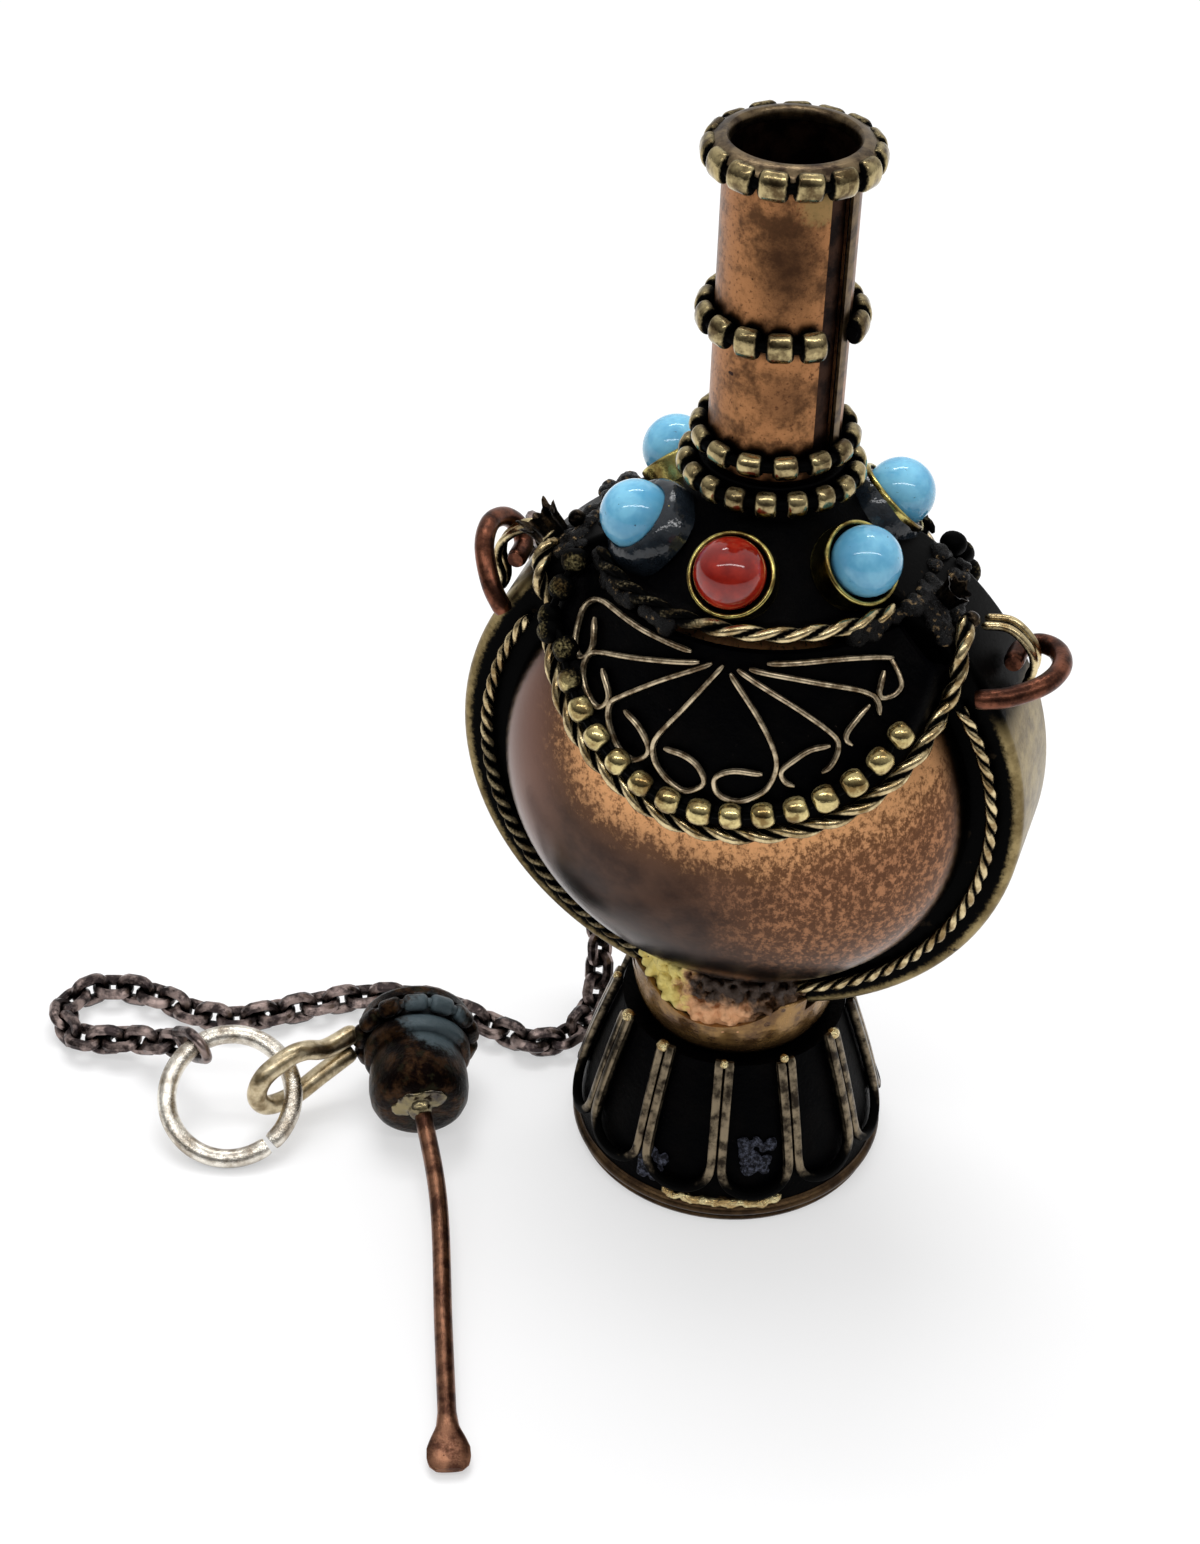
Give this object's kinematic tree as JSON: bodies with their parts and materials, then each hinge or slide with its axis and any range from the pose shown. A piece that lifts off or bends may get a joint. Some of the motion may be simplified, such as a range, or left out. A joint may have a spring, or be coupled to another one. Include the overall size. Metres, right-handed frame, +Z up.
{
  "type": "snuff bottle",
  "caption": "Round flask-shaped metal snuff bottle on a flared foot, with a tall neck, glass stones, side rings and a chained stopper with a dipper",
  "frame": {"origin": "centre of the foot's underside, on the surface it stands on", "axes": "+Z up along the bottle; -Y is the pictured face; +X is to that face's right, and the stopper lies on the -X side"},
  "size_m": [0.0732, 0.0546, 0.08],
  "materials": {
    "antique_brass": "worn brass sheet and wire with dark patina in the recesses",
    "gold_brass": "polished yellow brass with rough solder inside",
    "blackened_sheet": "blackened ground between the brass wires",
    "copper": "worn copper sheet, darker and browner below",
    "dark_copper": "dark reddish copper wire",
    "silver": "bright silvery wire",
    "gunmetal": "dark brownish gunmetal",
    "bronze": "dark bronze with blue-grey patina",
    "turquoise_glass": "glossy glass bead",
    "coral_glass": "glossy glass bead"
  },
  "bodies": {
    "bottle": {"base_plate": "copper", "front_dome": "copper", "back_dome": "copper", "neck_sleeve": "copper", "foot_rim": "antique_brass", "petal_wires": "antique_brass", "rim_band": "antique_brass", "front_rim_rope": "antique_brass", "front_bib_rope": "antique_brass", "front_bib_beads": "antique_brass", "front_filigree": "antique_brass", "front_shoulder_rope": "antique_brass", "back_rim_rope": "antique_brass", "back_bib_rope": "antique_brass", "back_bib_beads": "antique_brass", "back_filigree": "antique_brass", "back_shoulder_rope": "antique_brass", "bezel_1": "antique_brass", "bezel_2": "antique_brass", "bezel_3": "antique_brass", "bezel_4": "antique_brass", "bezel_5": "antique_brass", "bezel_6": "antique_brass", "neck_seam_strip": "antique_brass", "neck_ring_lower": "antique_brass", "neck_ring_upper": "antique_brass", "neck_mid_ring": "antique_brass", "mouth_ring": "antique_brass", "mouth_lip": "antique_brass", "left_eye": "antique_brass", "right_eye": "antique_brass", "left_ball": "antique_brass", "right_ball": "antique_brass", "foot_cone": "blackened_sheet", "front_bib_plate": "blackened_sheet", "back_bib_plate": "blackened_sheet", "shoulder_cone": "blackened_sheet", "left_crown": "blackened_sheet", "right_crown": "blackened_sheet", "saddle_cup": "gold_brass", "neck_tube": "dark_copper", "chain": "gunmetal", "stone_2": "turquoise_glass", "stone_3": "turquoise_glass", "stone_5": "turquoise_glass", "stone_6": "turquoise_glass", "stone_1": "coral_glass", "stone_4": "coral_glass"},
    "left_ring": {"left_ring": "dark_copper"},
    "right_ring": {"right_ring": "dark_copper"},
    "split_ring": {"split_ring": "silver"},
    "stopper": {"stopper_plug": "bronze", "stopper_bead_ring": "bronze", "stopper_cap": "bronze", "stopper_eye": "antique_brass", "dipper": "bronze"}
  },
  "joints": [
    {"name": "right_ring_swing", "type": "hinge", "parent": "bottle", "child": "right_ring", "pos_m": [0.01712, 0, 0.04643], "axis": [0, -1, 0], "range_deg": [-42, 68]},
    {"name": "left_ring_swing", "type": "hinge", "parent": "bottle", "child": "left_ring", "pos_m": [-0.01712, 0, 0.04643], "axis": [0, 1, 0], "range_deg": [-87, 23]},
    {"name": "split_ring_lift", "type": "hinge", "parent": "bottle", "child": "split_ring", "pos_m": [-0.03788, -0.01235, 0.00553], "axis": [-0.6246, -0.7065, -0.3328], "range_deg": [0, 40]},
    {"name": "stopper_lift", "type": "hinge", "parent": "split_ring", "child": "stopper", "pos_m": [-0.03049, -0.0119, 0.00429], "axis": [0.5604, -0.6345, -0.5324], "range_deg": [0, 60]}
  ]
}
